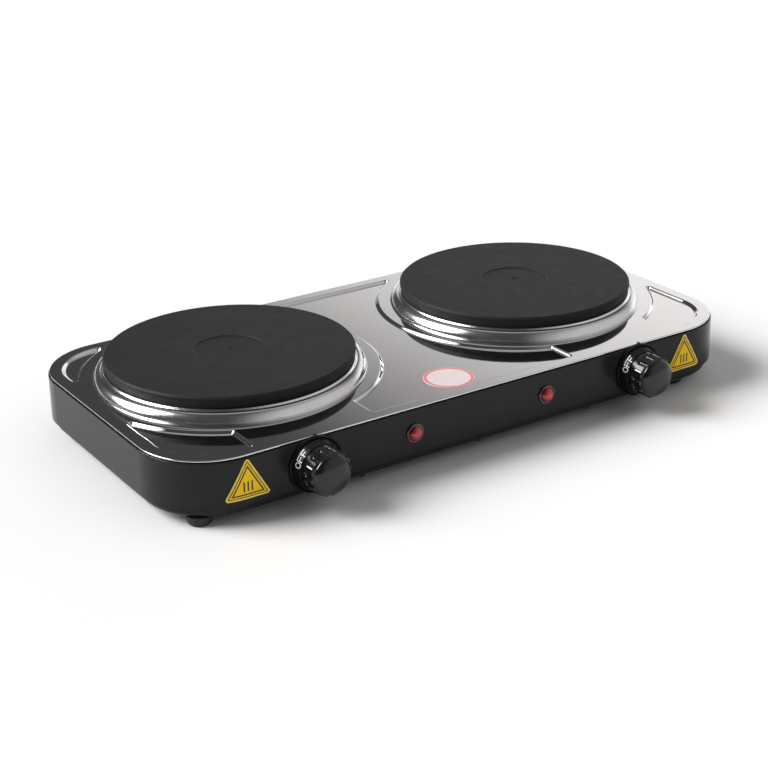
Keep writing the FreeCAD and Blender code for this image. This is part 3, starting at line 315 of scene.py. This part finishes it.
def dress_nodes():
    """Give every CAD node its material."""
    by_slot = small_materials()
    by_slot["deck_steel"] = deck_steel()
    by_slot["body_paint"] = body_paint()
    by_slot["knob_plastic"] = knob_plastic()
    own = {}
    collar = plain("collar_plastic", (0.006, 0.006, 0.0064), (0.009, 0.009, 0.0096), (0.30, 0.38),
                   depth=0.004, specular=0.14)
    for side in ("left", "right"):
        low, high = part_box("hotplate_" + side)
        centre = (low + high) / 2
        own["hotplate_" + side] = cast_iron(centre)
        own["trim_ring_" + side] = ring_steel(centre)
        low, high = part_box("lamp_lens_" + side)
        own["lamp_lens_" + side] = lens_red((low + high) / 2)
        own["dial_collar_" + side] = collar
    for name in ("base_screws", "foot_screws"):
        own[name] = by_slot["black_steel"]
    slots = {part["node"]: part["material_slot"] for part in frame["record"]["subparts"]}
    for name, node in frame["nodes"].items():
        material = own.get(name) or by_slot[slots[name]]
        node.data.materials.clear()
        node.data.materials.append(material)


# ---------------------------------------------------------------- printed pieces

def add_piece(name, vertices, faces, material, body, slot=None):
    """Add a mesh piece that rides on a body."""
    mesh = bpy.data.meshes.new(name)
    mesh.from_pydata([tuple(v) for v in vertices], [], faces)
    mesh.validate()
    mesh.update()
    mesh.materials.append(material)
    piece = bpy.data.objects.new(name, mesh)
    bpy.context.scene.collection.objects.link(piece)
    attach(piece, body)
    return piece


def band(loops, place, high, low):
    """Return a closed thin band across loops of equal length, laid on a surface."""
    count, rows = len(loops[0]), len(loops)
    vertices = [place(p, h) for h in (high, low) for loop in loops for p in loop]
    order = list(range(rows)) + list(range(2 * rows - 1, rows - 1, -1))
    faces = []
    for a, b in zip(order, order[1:] + order[:1]):
        for i in range(count):
            j = (i + 1) % count
            faces.append((a * count + i, a * count + j, b * count + j, b * count + i))
    return vertices, faces


def wall_point(point, out):
    """Return the place of (x, z) on the front wall, raised by out, following the corners."""
    x, z = point
    start = HALF_X - CORNER_R
    if abs(x) <= start:
        return Vector((x, FRONT_Y - out, z))
    angle = math.asin(min(1.0, (abs(x) - start) / CORNER_R))
    radius = CORNER_R + out
    side = math.copysign(1, x)
    y = FRONT_Y + CORNER_R - radius * math.cos(angle)
    return Vector((side * (start + radius * math.sin(angle)), y, z))


def triangle_loop(centre_x, base_z, side, inset):
    """Return points round a rounded triangle, drawn in by an inset."""
    height = side * math.sqrt(3) / 2
    middle = (centre_x, base_z + height / 3)
    radius = max(TRIANGLE_CORNER_R - inset, 0.1 * MM)
    reach = 2 * (height / 3 - inset - radius)
    corners = []
    for k in range(3):
        direction = math.radians(90 + 120 * k)
        corners.append((middle[0] + reach * math.cos(direction), middle[1] + reach * math.sin(direction)))
    loop = []
    for k in range(3):
        for i in range(ARC_STEPS + 1):
            a = math.radians(30 + 120 * k + 120 * i / ARC_STEPS)
            loop.append((corners[k][0] + radius * math.cos(a), corners[k][1] + radius * math.sin(a)))
        begin = loop[-1]
        corner = corners[(k + 1) % 3]
        a = math.radians(150 + 120 * k)
        end = (corner[0] + radius * math.cos(a), corner[1] + radius * math.sin(a))
        for i in range(1, EDGE_STEPS):
            t = i / EDGE_STEPS
            loop.append((begin[0] + (end[0] - begin[0]) * t, begin[1] + (end[1] - begin[1]) * t))
    return loop


def shrink(loop, middle, share):
    """Return a loop drawn in towards a middle to a share of its size."""
    return [(middle[0] + (x - middle[0]) * share, middle[1] + (z - middle[1]) * share) for x, z in loop]


def print_triangle(side, ink, yellow):
    """Print the lines, the yellow field and the plain bars on one triangle label."""
    low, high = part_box("triangle_label_" + side)
    height = high.z - low.z + TRIANGLE_CORNER_R
    length = height * 2 / math.sqrt(3)
    centre_x = (low.x + high.x) / 2
    middle = (centre_x, low.z + height / 3)
    ink_top = LABEL_T + 2 * INK_RISE

    def loop(inset):
        return triangle_loop(centre_x, low.z, length, inset)

    field_loops = [shrink(loop(LINE_OUTER[1]), middle, share) for share in FIELD_STEPS]
    field = band(field_loops, wall_point, LABEL_T + INK_RISE, LABEL_T)
    add_piece("triangle_field_" + side, *field, yellow, "chassis", "label_yellow")
    for name, insets in (("outer", LINE_OUTER), ("inner", LINE_INNER)):
        lines = band([loop(inset) for inset in insets], wall_point, ink_top, LABEL_T)
        add_piece("triangle_%s_line_%s" % (name, side), *lines, ink, "chassis")
    for k in (-1, 0, 1):
        x, z = centre_x + k * BAR_PITCH, middle[1] - BAR_DROP
        corners = ((-1, -1), (1, -1), (1, 1), (-1, 1))
        outer = [(x + a * BAR_HALF_WIDTH, z + b * BAR_HALF_HEIGHT) for a, b in corners]
        bar = band((outer, shrink(outer, (x, z), BAR_CORE)), wall_point, ink_top, LABEL_T)
        add_piece("triangle_bar_%s_%d" % (side, k + 2), *bar, ink, "chassis")


def deck_label_rim(red):
    """Red rim printed on the round deck label."""
    low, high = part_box("deck_label")
    centre = (low + high) / 2
    radius = (high.x - low.x) / 2 - RIM_INSET
    angles = [2 * math.pi * i / RIM_STEPS for i in range(RIM_STEPS)]
    outer = [(radius * math.cos(a), radius * math.sin(a)) for a in angles]
    inner = shrink(outer, (0, 0), 1 - RIM_WIDTH / radius)

    def place(p, out):
        return Vector((centre.x + p[0], centre.y + p[1], high.z + out))

    add_piece("deck_label_rim", *band((outer, inner), place, INK_RISE, 0), red, "chassis", "label_white")


def letter_strokes(letter):
    """Return a letter's strokes as (x, y) lines in a box one unit wide and high."""
    if letter == "O":
        return [[(0.5 + 0.5 * math.cos(math.radians(a)), 0.5 + 0.5 * math.sin(math.radians(a)))
                 for a in range(0, 361, 15)]]
    arm = [k / ARM_STEPS for k in range(ARM_STEPS + 1)]
    return [[(0, 0), (0, 1)] + [(x, 1) for x in arm[1:]], [(0.8 * x, 0.5) for x in arm]]


def stroke_prism(points, place, half, high, low):
    """Return a flat stroke of even width along points, laid on a surface."""
    vertices, faces = [], []
    for (x0, y0), (x1, y1) in zip(points, points[1:]):
        length = math.hypot(x1 - x0, y1 - y0)
        dx, dy = (x1 - x0) / length * half, (y1 - y0) / length * half
        corners = [
            (x0 - dx + dy, y0 - dy - dx), (x1 + dx + dy, y1 + dy - dx),
            (x1 + dx - dy, y1 + dy + dx), (x0 - dx - dy, y0 - dy + dx),
        ]
        n = len(vertices)
        vertices += [place(p, high) for p in corners] + [place(p, low) for p in corners]
        faces += [(n, n + 1, n + 2, n + 3), (n + 7, n + 6, n + 5, n + 4)]
        faces += [(n + i, n + 4 + i, n + 4 + (i + 1) % 4, n + (i + 1) % 4) for i in range(4)]
    return vertices, faces


def collar_lettering(side, white):
    """Print OFF round the cone of one fixed collar."""
    low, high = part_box("spindle_" + side)
    axis_x, axis_z = (low.x + high.x) / 2, (low.z + high.z) / 2
    slope = (CONE_FRONT[0] - CONE_BACK[0]) / (CONE_FRONT[1] - CONE_BACK[1])

    def place(point, out):
        depth = LETTER_BASE_DEPTH - point[1]
        radius = CONE_BACK[0] + (depth - CONE_BACK[1]) * slope + out
        angle = math.radians(LETTER_ANGLE) - point[0] / CONE_FRONT[0]
        return Vector((axis_x + radius * math.cos(angle), FRONT_Y - depth, axis_z + radius * math.sin(angle)))

    vertices, faces = [], []
    for index, letter in enumerate("OFF"):
        left = (index - 1) * LETTER_PITCH - LETTER_WIDTH / 2
        for line in letter_strokes(letter):
            points = [(left + x * LETTER_WIDTH, y * LETTER_HEIGHT) for x, y in line]
            more, sides = stroke_prism(points, place, LETTER_STROKE / 2, INK_RISE, -INK_RISE)
            start = len(vertices)
            vertices += more
            faces += [tuple(i + start for i in face) for face in sides]
    add_piece("off_lettering_" + side, vertices, faces, white, "chassis")


def knob_pointer(side, white):
    """White stripe along the pointer ridge of one knob."""
    low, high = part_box("spindle_" + side)
    axis_x, axis_z = (low.x + high.x) / 2, (low.z + high.z) / 2
    angle = math.radians(POINTER_ANGLE)
    radial = Vector((math.cos(angle), 0, math.sin(angle)))
    across = Vector((-math.sin(angle), 0, math.cos(angle)))

    def place(point, out):
        return Vector((axis_x, FRONT_Y - point[0], axis_z)) + radial * (RIDGE_R + out) + across * point[1]

    line = [(POINTER_DEPTHS[0], 0), (POINTER_DEPTHS[1], 0)]
    stripe = stroke_prism(line, place, POINTER_HALF_WIDTH, INK_RISE, -INK_RISE)
    add_piece("pointer_stripe_" + side, *stripe, white, "knob_body_" + side)


def printed_pieces():
    """Add every printed mark."""
    ink = plain("label_ink", (0.012, 0.010, 0.010), (0.02, 0.018, 0.017), (0.35, 0.5), depth=0.01)
    yellow = plain("label_yellow_print", (0.93, 0.60, 0.008), (0.98, 0.66, 0.014), (0.42, 0.52),
                   depth=0.01, specular=0.15)
    red = plain("label_red_print", (0.72, 0.16, 0.17), (0.80, 0.22, 0.23), (0.30, 0.42), depth=0.01)
    white = plain("white_print", (0.80, 0.80, 0.79), (0.88, 0.88, 0.87), (0.35, 0.5), depth=0.01)
    for side in ("left", "right"):
        print_triangle(side, ink, yellow)
        collar_lettering(side, white)
        knob_pointer(side, white)
    deck_label_rim(red)


# ---------------------------------------------------------------- studio

# Brightness of the surroundings away from every patch
WORLD_DIM = 0.07

# Soft patches that light the scene, each as a direction, a brightness, and the angles in degrees from that
# direction where it starts to fade and where it has faded out
BACKDROP = ((0.72, 0.61, -0.28), 1.10, 35, 46.5)
LEFT_SOFTBOX = ((-0.66, 0.43, 0.58), 14.0, 5, 26)
BACK_SOFTBOX = ((0.27, 0.42, 0.87), 0.45, 6, 34)
FRONT_FILL = ((0.75, -0.65, 0.10), 0.60, 30, 80)


def studio_floor():
    """Plain pale floor."""
    corners = ((-1, -1), (1, -1), (1, 1), (-1, 1))
    mesh = bpy.data.meshes.new("studio_floor")
    mesh.from_pydata([(x * FLOOR_REACH, y * FLOOR_REACH, 0) for x, y in corners], [], [(0, 1, 2, 3)])
    floor = bpy.data.objects.new("studio_floor", mesh)
    s = Shader("studio_floor")
    s.colour(s.noise(3.0), (0.90, 0.90, 0.90), (0.92, 0.92, 0.92))
    s.rough(s.noise(20.0), 0.75, 0.85)
    mesh.materials.append(s.material)
    bpy.context.scene.collection.objects.link(floor)


def lobe(tree, coordinates, direction, inner, outer):
    """Return a soft patch of the surroundings: 1 at its middle and 0 outside. Angles are in degrees."""
    toward = tree.nodes.new("ShaderNodeVectorMath")
    toward.operation = "DOT_PRODUCT"
    toward.inputs[1].default_value = Vector(direction).normalized()
    shade = tree.nodes.new("ShaderNodeMapRange")
    shade.interpolation_type = "SMOOTHSTEP"
    shade.inputs["From Min"].default_value = math.cos(math.radians(outer))
    shade.inputs["From Max"].default_value = math.cos(math.radians(inner))
    tree.links.new(coordinates, toward.inputs[0])
    tree.links.new(toward.outputs["Value"], shade.inputs["Value"])
    return shade.outputs["Result"]


def studio_world():
    """Dim surroundings with soft bright patches, which the polished steel reflects."""
    world = bpy.data.worlds.new("studio")
    bpy.context.scene.world = world
    world.use_nodes = True
    tree = world.node_tree
    background = tree.nodes["Background"]
    coordinates = tree.nodes.new("ShaderNodeTexCoord").outputs["Generated"]
    total = None
    for direction, brightness, inner, outer in (BACKDROP, LEFT_SOFTBOX, BACK_SOFTBOX, FRONT_FILL):
        add = tree.nodes.new("ShaderNodeMath")
        add.operation = "MULTIPLY_ADD"
        add.inputs[1].default_value = brightness
        tree.links.new(lobe(tree, coordinates, direction, inner, outer), add.inputs[0])
        if total is None:
            add.inputs[2].default_value = WORLD_DIM
        else:
            tree.links.new(total, add.inputs[2])
        total = add.outputs[0]
    tree.links.new(total, background.inputs["Strength"])
    background.inputs["Color"].default_value = (1.0, 0.99, 0.985, 1)


def studio_camera():
    """Camera at the viewing angle, with a slight roll and a lens shift."""
    azimuth = math.radians(CAMERA_AZIMUTH)
    elevation = math.radians(CAMERA_ELEVATION)
    roll = math.radians(CAMERA_ROLL)
    flat = math.cos(elevation)
    back = Vector((math.sin(azimuth) * flat, -math.cos(azimuth) * flat, math.sin(elevation)))
    right = Vector((math.cos(azimuth), math.sin(azimuth), 0))
    up = back.cross(right)
    rolled_right = right * math.cos(roll) + up * math.sin(roll)
    rolled_up = up * math.cos(roll) - right * math.sin(roll)
    aim = Vector((BODY_MIDDLE.x, BODY_MIDDLE.y, DECK_TOP + CAMERA_AIM_RISE))
    data = bpy.data.cameras.new("camera")
    data.sensor_width = CAMERA_SENSOR
    data.lens = CAMERA_LENS
    data.shift_x, data.shift_y = CAMERA_SHIFT
    camera = bpy.data.objects.new("camera", data)
    turn = Matrix((rolled_right, rolled_up, back)).transposed().to_4x4()
    camera.matrix_world = Matrix.Translation(aim + back * CAMERA_DISTANCE) @ turn
    bpy.context.scene.collection.objects.link(camera)
    bpy.context.scene.camera = camera


def studio():
    """Floor, surroundings and camera."""
    studio_floor()
    studio_world()
    studio_camera()
    bpy.context.scene.view_settings.view_transform = "Standard"


dress_nodes()
printed_pieces()
studio()
